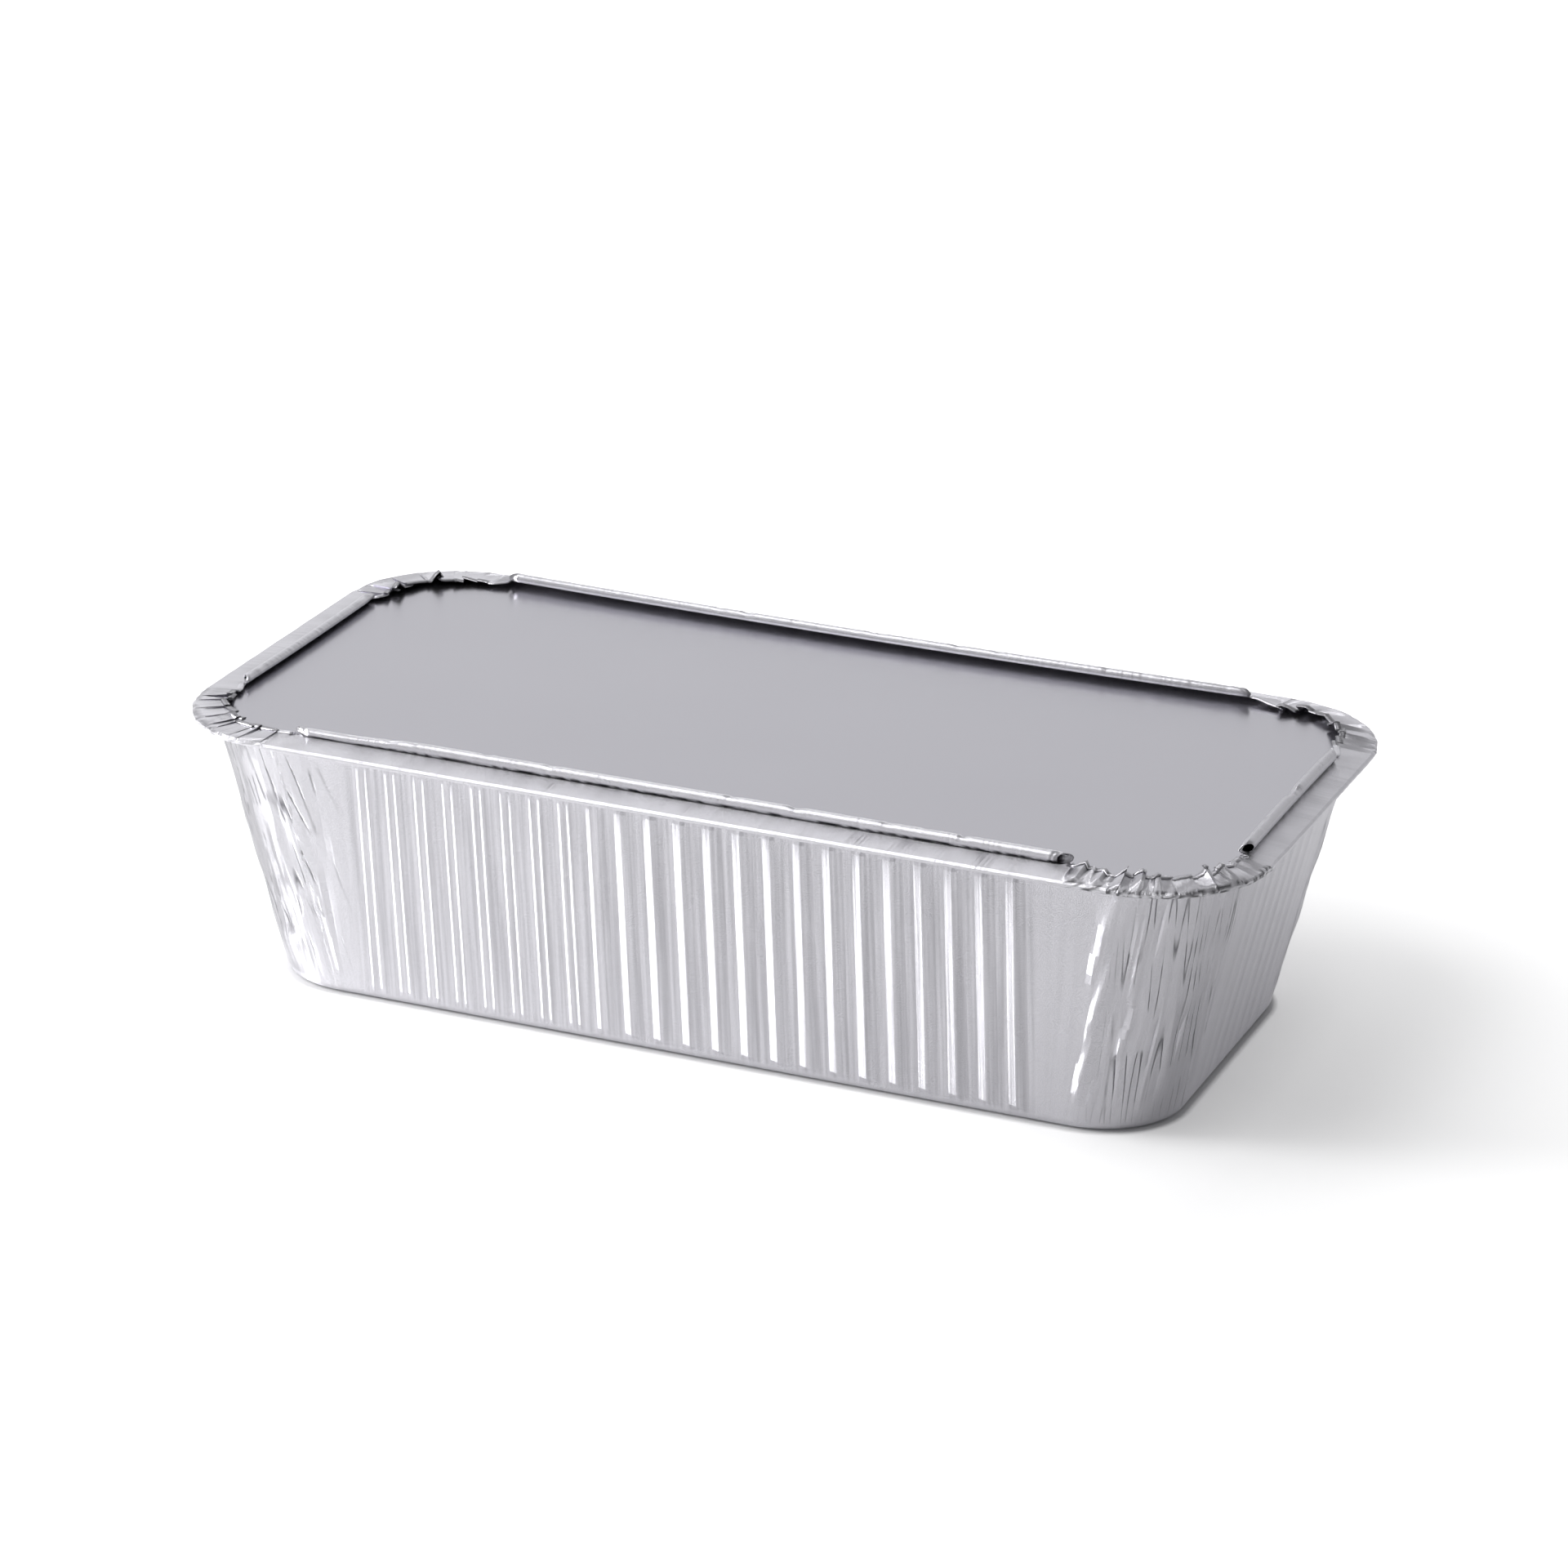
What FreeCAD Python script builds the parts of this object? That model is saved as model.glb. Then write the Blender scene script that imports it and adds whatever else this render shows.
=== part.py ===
"""Foil food container: a pressed aluminium foil tray, closed by a foil-faced board lid under its folded rim.

Millimetres. +Z is up, X runs along the long side, and the origin is at the centre of the base's underside.
The tray is one sheet: base, ribbed walls, pleated corners, the ledge that carries the lid, the fold
round the lid's edge, the flap over the lid, and the rolled bead along each straight of the flap.
Its surface is flat facets, as creased foil is, and it is built as two skins one foil thickness apart.
"""

import FreeCAD, Part
import math
import os
from collections import namedtuple

# Plan and height
fold_length = 200.0        # over the folded rim, along X
fold_width = 103.0         # over the folded rim, along Y
fold_radius = 22.0         # corner of the folded rim, in plan
base_length = 170.4        # over the foot of the walls, along X
base_width = 79.0          # over the foot of the walls, along Y
base_radius = 16.0         # corner of the foot of the walls, in plan
base_bend = 2.0            # radius of the bend from base to wall
ledge_height = 49.0        # top of the ledge above the base's underside
ledge_width = 4.6          # from the top of the wall to the fold
foil = 0.1                 # thickness of the sheet

# Lid
lid_thickness = 0.6
lid_edge_gap = 0.6         # between the lid's edge and the outside of the fold

# Folded rim
fold_corner = 0.35         # how far the fold's upright is chamfered above and below
flap_gap = 0.25            # between the lid and the flap, at the fold
flap_rise = 0.35           # what the flap gains in height from the fold to its free edge
side_flap = 6.6            # from the fold to the free edge, on the long sides
end_flap = 5.6             # from the fold to the free edge, on the short sides
flap_pleat = 1.1           # height of the pleats in the flap's free edge at the corners
flap_ragged = 0.5          # how far the pleats' free edge steps in and out
bead_diameter = 2.2        # rolled bead along the flap's free edge
bead_turn = 325.0          # degrees that the bead is rolled through
bead_facets = 13           # facets in that turn
# plain flap left at the start and at the end of each side's straight, anticlockwise from above
bead_stops = {"front": (3.3, 8.4), "right": (1.6, 5.2), "back": (6.0, 3.4), "left": (2.6, 3.8)}

# Ribs pressed outwards in the walls
rib_pitch = 5.5
rib_foot = 2.3             # width where the rib leaves the wall
rib_crest = 1.3            # width of its flat crest
rib_depth = 0.5
rib_run_out = 1.2          # length of the slope at each end of a rib
rib_margin = 6.0           # plain wall kept beside the outermost ribs
rib_head_gap = 2.2         # from the ledge down to the ribs
rib_foot_gap = 1.0         # from the base's bend up to the ribs

# Pleats in the corners of the wall
corner_steps = 24          # facets round each corner, two to a pleat
pleat_depth = 0.45         # in and out of the corner's plain curve
pleat_levels = 5           # bands of facets up the corner

bend_turns = (90.0, 50.0, 10.0)    # degrees below level of the base bend's points, base to wall
V = FreeCAD.Vector

# Heights that follow from the stack ledge, lid, gap, flap
lid_bottom = ledge_height
lid_top = lid_bottom + lid_thickness
flap_under = lid_top + flap_gap
flap_top = flap_under + foil
ledge_under = ledge_height - foil

SIDES = ("front", "right", "back", "left")
SIDE_ALONG = (V(1, 0, 0), V(0, 1, 0), V(-1, 0, 0), V(0, -1, 0))
SIDE_OUT = (V(0, -1, 0), V(1, 0, 0), V(0, 1, 0), V(-1, 0, 0))
CORNER_SIGNS = ((1, -1), (1, 1), (-1, 1), (-1, -1))

# One level of a skin: a rounded rectangle, with pleats in and out (pleat), up (lift) and ragged (step)
Level = namedtuple("Level", "half_x half_y radius z pleat lift step phase")


def base_level(inset, z):
    """A level measured inwards from the foot of the walls."""
    return Level(base_length / 2 - inset, base_width / 2 - inset, base_radius - inset, z, 0.0, 0.0, 0.0, 0)


def rim_level(inset_x, inset_y, z, pleat=0.0, lift=0.0, step=0.0):
    """A level measured inwards from the outside of the fold."""
    radius = fold_radius - (inset_x + inset_y) / 2
    return Level(fold_length / 2 - inset_x, fold_width / 2 - inset_y, radius, z, pleat, lift, step, 0)


def between(low, high, share, pleat, phase):
    """The level at a share of the way from one level to another."""
    mixed = [a + (b - a) * share for a, b in zip(low[:4], high[:4])]
    return Level(*mixed, pleat, 0.0, 0.0, phase)


def corner_point(level, corner, k):
    """Point k of a corner, from 0 where the side before it ends to corner_steps where the next begins."""
    turn = math.radians(90 * (corner - 1 + k / corner_steps))
    reach = level.radius
    z = level.z
    if 0 < k < corner_steps:
        crest = 1 if k % 2 else -1
        uneven = 1 + 0.45 * math.sin(2.4 * k + 1.9 * corner + 1.3 * level.phase)
        reach += level.pleat * crest * uneven
        reach += level.step * crest
        z += level.lift * uneven if crest > 0 else 0.0
    sign_x, sign_y = CORNER_SIGNS[corner]
    centre = V(sign_x * (level.half_x - level.radius), sign_y * (level.half_y - level.radius), z)
    return centre + V(math.cos(turn), math.sin(turn), 0) * reach


def side_ends(level, side):
    """The first and last point of a straight side."""
    return corner_point(level, side - 1, corner_steps), corner_point(level, side, 0)


def ring(level):
    """Every point of a level, anticlockwise."""
    return [corner_point(level, corner, k) for corner in range(4) for k in range(corner_steps + 1)]


def facet(points):
    """A flat face through points that lie in one plane."""
    return Part.Face(Part.makePolygon(points + points[:1]))


def triangles(a, b, c, d):
    """Two flat faces for four points that needn't lie in one plane."""
    return [facet([a, b, c]), facet([a, c, d])]


def corner_band(low, high):
    """The facets between two levels, round all four corners."""
    faces = []
    for corner in range(4):
        for k in range(corner_steps):
            a, b = corner_point(low, corner, k), corner_point(low, corner, k + 1)
            c, d = corner_point(high, corner, k + 1), corner_point(high, corner, k)
            faces += triangles(a, b, c, d)
    return faces


def side_band(low, high):
    """One flat face between two levels, on each straight side."""
    faces = []
    for side in range(4):
        a, b = side_ends(low, side)
        d, c = side_ends(high, side)
        faces.append(facet([a, b, c, d]))
    return faces


def rib_places(level, side):
    """Where the ribs stand along a side, from its middle. The count follows the pitch."""
    start, end = side_ends(level, side)
    half = (end - start).Length / 2
    steps = math.floor((half - rib_margin) / rib_pitch)
    return [i * rib_pitch for i in range(-steps, steps + 1)]


def rib(foot, up, along, out, place, low, high):
    """The foot outline and the five faces of one rib. foot is the panel's origin, low and high run up it."""
    def on_panel(x, rise, depth):
        return foot + along * x + up * rise + out * depth

    feet = [
        on_panel(place - rib_foot / 2, low, 0),
        on_panel(place + rib_foot / 2, low, 0),
        on_panel(place + rib_foot / 2, high, 0),
        on_panel(place - rib_foot / 2, high, 0),
    ]
    crests = [
        on_panel(place - rib_crest / 2, low + rib_run_out, rib_depth),
        on_panel(place + rib_crest / 2, low + rib_run_out, rib_depth),
        on_panel(place + rib_crest / 2, high - rib_run_out, rib_depth),
        on_panel(place - rib_crest / 2, high - rib_run_out, rib_depth),
    ]
    faces = [facet(crests)]
    for i in range(4):
        j = (i + 1) % 4
        faces.append(facet([feet[i], feet[j], crests[j], crests[i]]))
    return feet, faces


def ribbed_side(levels, side):
    """A straight wall: one flat panel with a hole for each rib, and the ribs' own faces."""
    low, high = levels[0], levels[-1]
    starts, ends = zip(*[side_ends(level, side) for level in levels])
    edge = list(ends) + list(reversed(starts))
    along, plan_out = SIDE_ALONG[side], SIDE_OUT[side]
    foot = (starts[0] + ends[0]) * 0.5
    head = (starts[-1] + ends[-1]) * 0.5
    up = (head - foot).normalize()
    out = along.cross(up).normalize()
    if out.dot(plan_out) < 0:
        out = out * -1
    length = (head - foot).Length
    holes = []
    faces = []
    for place in rib_places(low, side):
        feet, rib_faces = rib(foot, up, along, out, place, rib_foot_gap, length - rib_head_gap)
        holes.append(Part.makePolygon(feet + feet[:1]))
        faces += rib_faces
    panel = Part.makePolygon(edge + edge[:1])
    faces.append(Part.makeFace([panel] + holes, "Part::FaceMakerBullseye"))
    return faces


def bead_points(edge, radius, inward):
    """The roll's section: points at radius round a centre above the flap's edge, from its lowest point."""
    centre = edge + V(0, 0, radius)
    points = []
    for i in range(bead_facets + 1):
        turn = math.radians(-90 + bead_turn * i / bead_facets)
        points.append(centre + inward * (radius * math.cos(turn)) + V(0, 0, radius * math.sin(turn)))
    return points


def flap_straight(fold_top, edge_top, fold_under, edge_under, side):
    """The flap on one straight side: top, underside, plain ends of its free edge, and the rolled bead."""
    along = SIDE_ALONG[side]
    inward = SIDE_OUT[side] * -1
    stop_start, stop_end = bead_stops[SIDES[side]]
    faces = []
    edges = []
    for fold, edge in ((fold_top, edge_top), (fold_under, edge_under)):
        fold_start, fold_end = side_ends(fold, side)
        start, end = side_ends(edge, side)
        bead_start = start + along * stop_start
        bead_end = end - along * stop_end
        faces.append(facet([fold_start, fold_end, end, bead_end, bead_start, start]))
        edges.append((start, bead_start, bead_end, end))
    top, under = edges
    faces.append(facet([top[0], top[1], under[1], under[0]]))
    faces.append(facet([top[2], top[3], under[3], under[2]]))
    # the flap's top becomes the inside of the roll, and its underside the outside
    centre_lift = bead_diameter / 2
    rolls = []
    for points, radius in ((top, centre_lift - foil), (under, centre_lift)):
        rolls.append([bead_points(points[1], radius, inward), bead_points(points[2], radius, inward)])
    inner, outer = rolls
    for near, far in (inner, outer):
        for i in range(bead_facets):
            faces.append(facet([near[i], far[i], far[i + 1], near[i + 1]]))
    for inside, outside in zip(inner, outer):
        faces.append(facet(inside + list(reversed(outside))))
    faces.append(facet([inner[0][-1], inner[1][-1], outer[1][-1], outer[0][-1]]))
    return faces


def bend_levels(radius):
    """The base's bend at a radius about its centre, from the base up to the wall."""
    levels = []
    for degrees in bend_turns:
        turn = math.radians(degrees)
        inset = base_bend - radius * math.cos(turn)
        levels.append(base_level(inset, base_bend - radius * math.sin(turn)))
    return levels


def wall_levels(low, high):
    """The corner pleats' levels, from the base's bend up to the ledge."""
    levels = [low]
    for i in range(1, pleat_levels):
        share = i / pleat_levels
        levels.append(between(low, high, share, pleat_depth * min(1.0, 2 * share), i))
    return levels + [high]


def fold_levels(side_gap, under, top):
    """The fold from the ledge round to the flap: two chamfers and an upright, a gap in from the outside."""
    chamfer = min(fold_corner, (top - under) / 3)
    inset = max(side_gap, fold_corner)
    return [
        rim_level(inset, inset, under),
        rim_level(side_gap, side_gap, under + chamfer),
        rim_level(side_gap, side_gap, top - chamfer),
        rim_level(inset, inset, top),
    ]


def tray():
    """The foil tray as one closed sheet."""
    faces = []
    skins = []
    for inner in (False, True):
        gap = foil if inner else 0.0
        bend = bend_levels(base_bend - gap)
        head_z = ledge_height if inner else ledge_under
        head = rim_level(ledge_width + gap, ledge_width + gap, head_z, pleat_depth)
        walls = wall_levels(bend[-1], head)
        under, top = (ledge_height, flap_under) if inner else (ledge_under, flap_top)
        fold = fold_levels(gap, under, top)
        edge = rim_level(end_flap, side_flap, top + flap_rise, 0.0, flap_pleat, flap_ragged)
        faces.append(facet(ring(bend[0])))
        plain = [bend, [head, fold[0]], fold]
        for levels in plain:
            for low, high in zip(levels, levels[1:]):
                faces += corner_band(low, high) + side_band(low, high)
        for low, high in zip(walls, walls[1:]):
            faces += corner_band(low, high)
        for side in range(4):
            faces += ribbed_side(walls, side)
        faces += corner_band(fold[-1], edge)
        skins.append((fold[-1], edge))
    (fold_top, edge_top), (fold_under, edge_under) = skins
    faces += corner_band(edge_top, edge_under)
    for side in range(4):
        faces += flap_straight(fold_top, edge_top, fold_under, edge_under, side)
    return closed(faces)


def closed(faces):
    """One solid from faces that meet edge to edge."""
    shell = Part.makeShell(faces)
    shell.sewShape()
    solid = Part.Solid(shell)
    if solid.Volume < 0:
        solid.reverse()
    return solid


def rounded_plate(half_x, half_y, radius, bottom, thickness):
    """A flat plate with round corners."""
    arms = ((1, -1), (1, 1), (-1, 1), (-1, -1))
    edges = []
    points = []
    for i, (sx, sy) in enumerate(arms):
        centre = V(sx * (half_x - radius), sy * (half_y - radius), bottom)
        turns = [math.radians(90 * i - 90 + 45 * j) for j in range(3)]
        points.append([centre + V(math.cos(t), math.sin(t), 0) * radius for t in turns])
    for i in range(4):
        start, middle, end = points[i]
        edges.append(Part.Arc(start, middle, end).toShape())
        edges.append(Part.LineSegment(end, points[(i + 1) % 4][0]).toShape())
    face = Part.Face(Part.Wire(edges))
    return face.extrude(V(0, 0, thickness))


def lid():
    """The board lid, lying on the ledge under the flap."""
    half_x = fold_length / 2 - lid_edge_gap
    half_y = fold_width / 2 - lid_edge_gap
    return rounded_plate(half_x, half_y, fold_radius - lid_edge_gap, lid_bottom, lid_thickness)


os.makedirs("parts", exist_ok=True)
for name, shape in (("foil_tray", tray()), ("board_lid", lid())):
    box = shape.BoundBox
    print(name, shape.isValid(), len(shape.Solids), len(shape.Faces), round(shape.Volume, 2),
          round(box.XLength, 3), round(box.YLength, 3), round(box.ZLength, 3))
    shape.exportStep("parts/" + name + ".step")
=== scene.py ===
import math
import random
from collections import namedtuple

import bmesh
import bpy
from mathutils import Matrix, Vector, noise


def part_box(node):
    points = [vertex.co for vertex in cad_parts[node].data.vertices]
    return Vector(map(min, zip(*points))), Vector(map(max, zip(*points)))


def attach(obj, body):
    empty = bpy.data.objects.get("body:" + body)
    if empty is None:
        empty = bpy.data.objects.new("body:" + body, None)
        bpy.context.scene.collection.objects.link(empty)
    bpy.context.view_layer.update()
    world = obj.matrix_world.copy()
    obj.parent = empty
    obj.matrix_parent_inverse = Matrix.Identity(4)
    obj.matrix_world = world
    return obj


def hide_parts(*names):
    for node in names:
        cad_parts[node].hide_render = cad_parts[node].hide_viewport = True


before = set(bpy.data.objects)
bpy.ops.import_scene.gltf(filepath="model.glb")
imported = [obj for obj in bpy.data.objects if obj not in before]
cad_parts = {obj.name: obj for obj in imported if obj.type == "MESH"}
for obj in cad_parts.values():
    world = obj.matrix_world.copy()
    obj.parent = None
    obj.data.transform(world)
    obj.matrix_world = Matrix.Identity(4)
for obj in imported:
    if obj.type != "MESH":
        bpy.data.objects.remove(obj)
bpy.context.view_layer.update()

# Everything below is in millimetres until a mesh is finished. Sides are numbered anticlockwise, from the
# front, and each corner has the number of the side that it follows.
MM = 0.001
FRONT, BACK, LEFT = 0, 2, 3
FRONT_RIGHT, FRONT_LEFT = 0, 3
LONG_SIDES = (FRONT, BACK)
TRAY_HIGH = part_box("foil_tray")[1] / MM
LID_LOW, LID_HIGH = (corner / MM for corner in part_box("board_lid"))

# Plan and height of the tray
HALF_LENGTH = TRAY_HIGH.x
HALF_WIDTH = TRAY_HIGH.y
FOLD_RADIUS = 22.0
FOOT_HALF_LENGTH = 85.2
FOOT_HALF_WIDTH = 39.5
FOOT_RADIUS = 16.0
BASE_BEND = 2.0
LEDGE_WIDTH = 4.6
WALL_LENGTH = 47.5
FOIL = 0.1
FLAP_GAP = 0.35
LEDGE_UNDER = LID_LOW.z - FOIL
FLAP_TOP = LID_HIGH.z + FLAP_GAP
HALF_FOLD = (FLAP_TOP - LEDGE_UNDER) / 2

# Ribs pressed outwards in the walls
RIB_PITCH = 5.5
# section of a rib from left to right, each bend's place and height: crisp, with a grooved crest, and soft
CRISP_RIB = ((-1.40, 0.0), (-0.92, 0.19), (0.25, 0.03), (0.72, 0.22), (1.90, 0.0))
SOFT_RIB = ((-1.85, 0.0), (-0.35, 0.57), (-0.10, 0.57), (0.60, 0.40), (1.85, 0.0))
RIB_COUNTS = (23, 7, 23, 7)
# the right wall's ribs are faint
RIB_STRENGTHS = (1.0, 0.3, 1.0, 1.0)
RIB_RUN_OUT = 0.9
RIB_HEAD_GAP = 1.9
RIB_FOOT_GAP = 0.0
# columns of a plain end: their number along the bead, and their spacing beyond it
ROLLED_STEPS = 6
PLAIN_SPACING = 0.8

# Flap over the lid, and the bead rolled along it
FLAP_RISE = 0.35
FLAP_STEPS = 5
BEAD_TURN = 500.0
# rows round the bead, closest together on the side that the crack under it darkens
BEAD_SHARES = (0.06, 0.12, 0.18, 0.25, 0.31, 0.37, 0.43, 0.50, 0.56,
               0.60, 0.64, 0.68, 0.75, 0.82, 0.88, 0.94, 1.0)
BEAD_OUTER_SHARE = 0.64
BEAD_SLANT = 2.4
# a side: its directions along and outwards, the width and bow of its flap, how far that rises to the bead,
# and how far from each corner the bead stops
Side = namedtuple("Side", "along out flap bow rise plain_start plain_end")
SIDES = (
    Side(Vector((1, 0, 0)), Vector((0, -1, 0)), 7.2, 0.0, 0.35, 3.3, 8.4),
    Side(Vector((0, 1, 0)), Vector((1, 0, 0)), 5.6, 0.3, 0.35, 1.6, 5.2),
    Side(Vector((-1, 0, 0)), Vector((0, 1, 0)), 4.9, 1.6, 0.75, 6.0, 3.4),
    Side(Vector((0, -1, 0)), Vector((-1, 0, 0)), 5.6, 0.3, 0.35, 2.6, 3.8),
)

# Corners: pleats pinched in the rim, and wrinkles pressed in the wall
CORNER_SIGNS = ((1, -1), (1, 1), (-1, 1), (-1, -1))
CORNER_FLAPS = (5.6, 6.8, 7.4, 6.6)
PLEATS = (14, 10, 8, 9)
PLEAT_HEIGHTS = (1.0, 1.6, 1.6, 1.0)
# a pleat rises to its ridge, falls steeply back under itself, and ends in a short, low slope
PLEAT_RIDGE = 0.8
PLEAT_VALLEY = 0.9
PLEAT_FALL = 0.1
PLEAT_VALLEY_HEIGHT = 0.2
PLEAT_STEPS = (0.0, 0.04, 0.3, 0.6, PLEAT_RIDGE, PLEAT_VALLEY, 0.95)
# pleats open quickly from the fold, and slower towards the free edge
PLEAT_OPENING = 0.6
# the front's plain right end is pleated with its corner: height of each column, and its step at the free edge
FRONT_END_PLEATS = ((0.35, 0.5), (0.62, 0.7), (0.0, -0.2), (0.16, 0.1), (0.0, -0.3),
                    (0.22, 0.2), (0.42, 0.3), (0.0, -0.1), (0.12, -0.3))
# where a corner's rim stands up in a peak: share of the turn, height, half-width in shares
PEAKS = (
    ((0.05, 1.2, 0.05), (0.15, 1.4, 0.06), (0.26, 0.6, 0.06), (0.57, 2.2, 0.04), (0.72, 1.0, 0.10)),
    ((0.22, 0.9, 0.06), (0.36, 1.5, 0.08), (0.60, 0.7, 0.12), (0.78, 0.8, 0.08), (0.93, 0.6, 0.05)),
    ((0.42, 2.0, 0.04), (0.80, 1.2, 0.05)),
    ((0.12, 0.7, 0.08), (0.52, 0.6, 0.03)),
)
HEM_HALF_WIDTH = 0.5
HEM_HALF_HEIGHT = 0.08
CORNER_ARC = math.radians(90) * (FOLD_RADIUS + FOOT_RADIUS - LEDGE_WIDTH) / 2
# a bold crease in a corner's wall: where its middle is, round from the corner's start and up,
# how far it leans for each millimetre up, its length, the width of its steep side, and its height
Crease = namedtuple("Crease", "corner around up lean length width height")
CREASES = (
    Crease(FRONT_RIGHT, 0.4, 42.5, 0.12, 11.0, 1.9, 0.90),
    Crease(FRONT_RIGHT, -0.5, 34.5, 0.12, 11.0, 1.7, 0.78),
    Crease(FRONT_RIGHT, 1.2, 25.5, 0.10, 17.0, 1.2, 0.66),
    Crease(FRONT_RIGHT, 1.1, 12.0, 0.06, 12.0, 1.5, 0.82),
    Crease(FRONT_RIGHT, 6.8, 20.0, 0.18, 7.0, 0.8, 0.76),
    Crease(FRONT_RIGHT, 3.7, 9.0, 0.25, 5.0, 0.8, 0.60),
    Crease(FRONT_RIGHT, -1.4, 44.0, 0.15, 5.5, 0.7, 0.31),
    Crease(FRONT_RIGHT, 5.8, 36.5, 0.00, 17.0, 0.5, -0.42),
    Crease(FRONT_RIGHT, 12.1, 16.0, 0.02, 15.0, 0.5, -0.40),
    Crease(FRONT_RIGHT, 13.8, 16.5, 0.05, 9.0, 0.5, -0.35),
    Crease(FRONT_RIGHT, 17.8, 19.5, 0.08, 6.0, 0.5, -0.35),
    Crease(FRONT_RIGHT, 10.3, 20.0, 0.30, 4.5, 0.5, -0.40),
    Crease(FRONT_RIGHT, 9.0, 41.0, 0.02, 10.0, 0.5, -0.35),
    Crease(FRONT_LEFT, 14.3, 33.0, 0.14, 16.0, 0.5, -0.42),
    Crease(FRONT_LEFT, 8.1, 9.0, 0.24, 15.0, 0.5, -0.42),
    Crease(FRONT_LEFT, 18.0, 14.0, -0.15, 12.0, 0.6, -0.60),
    Crease(FRONT_LEFT, 15.3, 17.0, 0.19, 7.0, 0.5, -0.40),
    Crease(FRONT_LEFT, 25.0, 44.0, 0.10, 9.0, 0.5, -0.40),
    Crease(FRONT_LEFT, 21.2, 26.0, 0.00, 13.0, 1.4, 0.40),
    Crease(FRONT_LEFT, 16.0, 7.0, 0.10, 8.0, 1.5, 0.45),
    Crease(FRONT_LEFT, 29.7, 35.0, -0.32, 13.0, 1.5, 0.35),
)

# The sheet is a grid of rows, which run round the tray, and columns, which run from the base out to the bead.
# A column on a side has a place along its ribs and a share of the plain wall beyond them; one in a corner has
# a share of the turn, and the share that it is folded to at the free edge.
Column = namedtuple("Column", "side corner place share turn folded lift step rolled")
Row = namedtuple("Row", "half_x half_y radius z part share")
random.seed(4)


def smooth(low, high, value):
    """0 at low, 1 at high, the same beyond them, and a smooth change between. High may be below low."""
    t = min(1.0, max(0.0, (value - low) / (high - low)))
    return t * t * (3 - 2 * t)


def mix(a, b, share):
    return a + (b - a) * share


def rib_at(side, place):
    """Section of the rib at a place along a side: crisp at the left end of the front, softer to the right."""
    worn = smooth(-24, -6, place) if side == FRONT else 0.6
    return [tuple(mix(a, b, worn) for a, b in zip(crisp, soft)) for crisp, soft in zip(CRISP_RIB, SOFT_RIB)]


def rib_height(rib, distance):
    """How far a rib stands out at a distance from its middle."""
    for (place, height), (next_place, next_height) in zip(rib, rib[1:]):
        if place <= distance <= next_place:
            return mix(height, next_height, (distance - place) / (next_place - place))
    return 0.0


def rib_edge(side):
    """From the middle of a side to the edge of its ribs."""
    return RIB_COUNTS[side] * RIB_PITCH / 2


def half_straight(side):
    """From the middle of a side to its corner."""
    return (HALF_LENGTH if side in LONG_SIDES else HALF_WIDTH) - FOLD_RADIUS


def plain_length(side):
    """From the edge of a side's ribs to its corner."""
    return half_straight(side) - rib_edge(side)


def plain_shares(side, stop):
    """Columns of a plain end, from ribs to corner: share of its length, and whether the bead is there."""
    cut = (half_straight(side) - stop - rib_edge(side)) / plain_length(side)
    steps = math.ceil(stop / PLAIN_SPACING)
    inside = [(cut * i / ROLLED_STEPS, True) for i in range(ROLLED_STEPS + 1)]
    outside = [(mix(cut, 1, i / steps), False) for i in range(steps + 1)]
    return inside + outside


def side_column(side, place, share, rolled, lift=0, step=0):
    return Column(side, None, place, share, 0, 0, lift, step, rolled)


def straight_columns(side):
    """Columns of the grid along a straight side: plain, ribs, plain."""
    edge = rib_edge(side)
    columns = []
    for share, rolled in reversed(plain_shares(side, SIDES[side].plain_start)):
        columns.append(side_column(side, -edge, -share, rolled))
    for i in range(RIB_COUNTS[side]):
        middle = (i - (RIB_COUNTS[side] - 1) / 2) * RIB_PITCH
        steps = [place for place, _ in rib_at(side, middle)] + [RIB_PITCH / 2]
        columns += [side_column(side, middle + step, 0, True) for step in steps]
    columns.pop()
    plain_end = plain_shares(side, SIDES[side].plain_end)
    first_pleated = len(plain_end) - 1 - len(FRONT_END_PLEATS)
    for i, (share, rolled) in enumerate(plain_end):
        lift, step = 0, 0
        if side == FRONT and first_pleated <= i < len(plain_end) - 1:
            lift, step = FRONT_END_PLEATS[i - first_pleated]
        columns.append(side_column(side, edge, share, rolled, lift, step))
    return columns


def pleated(column):
    """Whether the rim is pleated at a column: round the corners, and at the front's right end."""
    return column.corner is not None or column.step != 0


def knife(p, overlap):
    """Section of a pleat folded back under itself: place across it and height, both from its start."""
    out, back = 1 + overlap / 2, 1 - overlap / 2
    if p < PLEAT_RIDGE:
        return out * p / PLEAT_RIDGE, p / PLEAT_RIDGE
    if p < PLEAT_VALLEY:
        t = (p - PLEAT_RIDGE) / PLEAT_FALL
        return mix(out, back, t), mix(1, PLEAT_VALLEY_HEIGHT, t)
    t = (p - PLEAT_VALLEY) / PLEAT_FALL
    return mix(back, 1, t), mix(PLEAT_VALLEY_HEIGHT, 0, t)


def corner_columns(corner):
    """Columns of the grid round a corner: a set for each pleat."""
    widths = [random.uniform(0.5, 1.5) for _ in range(PLEATS[corner])]
    columns = []
    start = 0.0
    for width in widths:
        width /= sum(widths)
        overlap = random.uniform(0.1, 0.35)
        height = random.uniform(0.1, 0.32) * PLEAT_HEIGHTS[corner]
        step = random.uniform(-0.6, 0.5)
        lean = random.uniform(-0.5, 0.9)
        for p in PLEAT_STEPS:
            across, lift = knife(p, overlap)
            turn = start + width * p
            folded = start + width * across
            ragged = step + lean * (across - 0.5)
            columns.append(Column(None, corner, 0, 0, turn, folded, lift * height, ragged, False))
        start += width
    columns.pop(0)
    return columns


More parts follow.
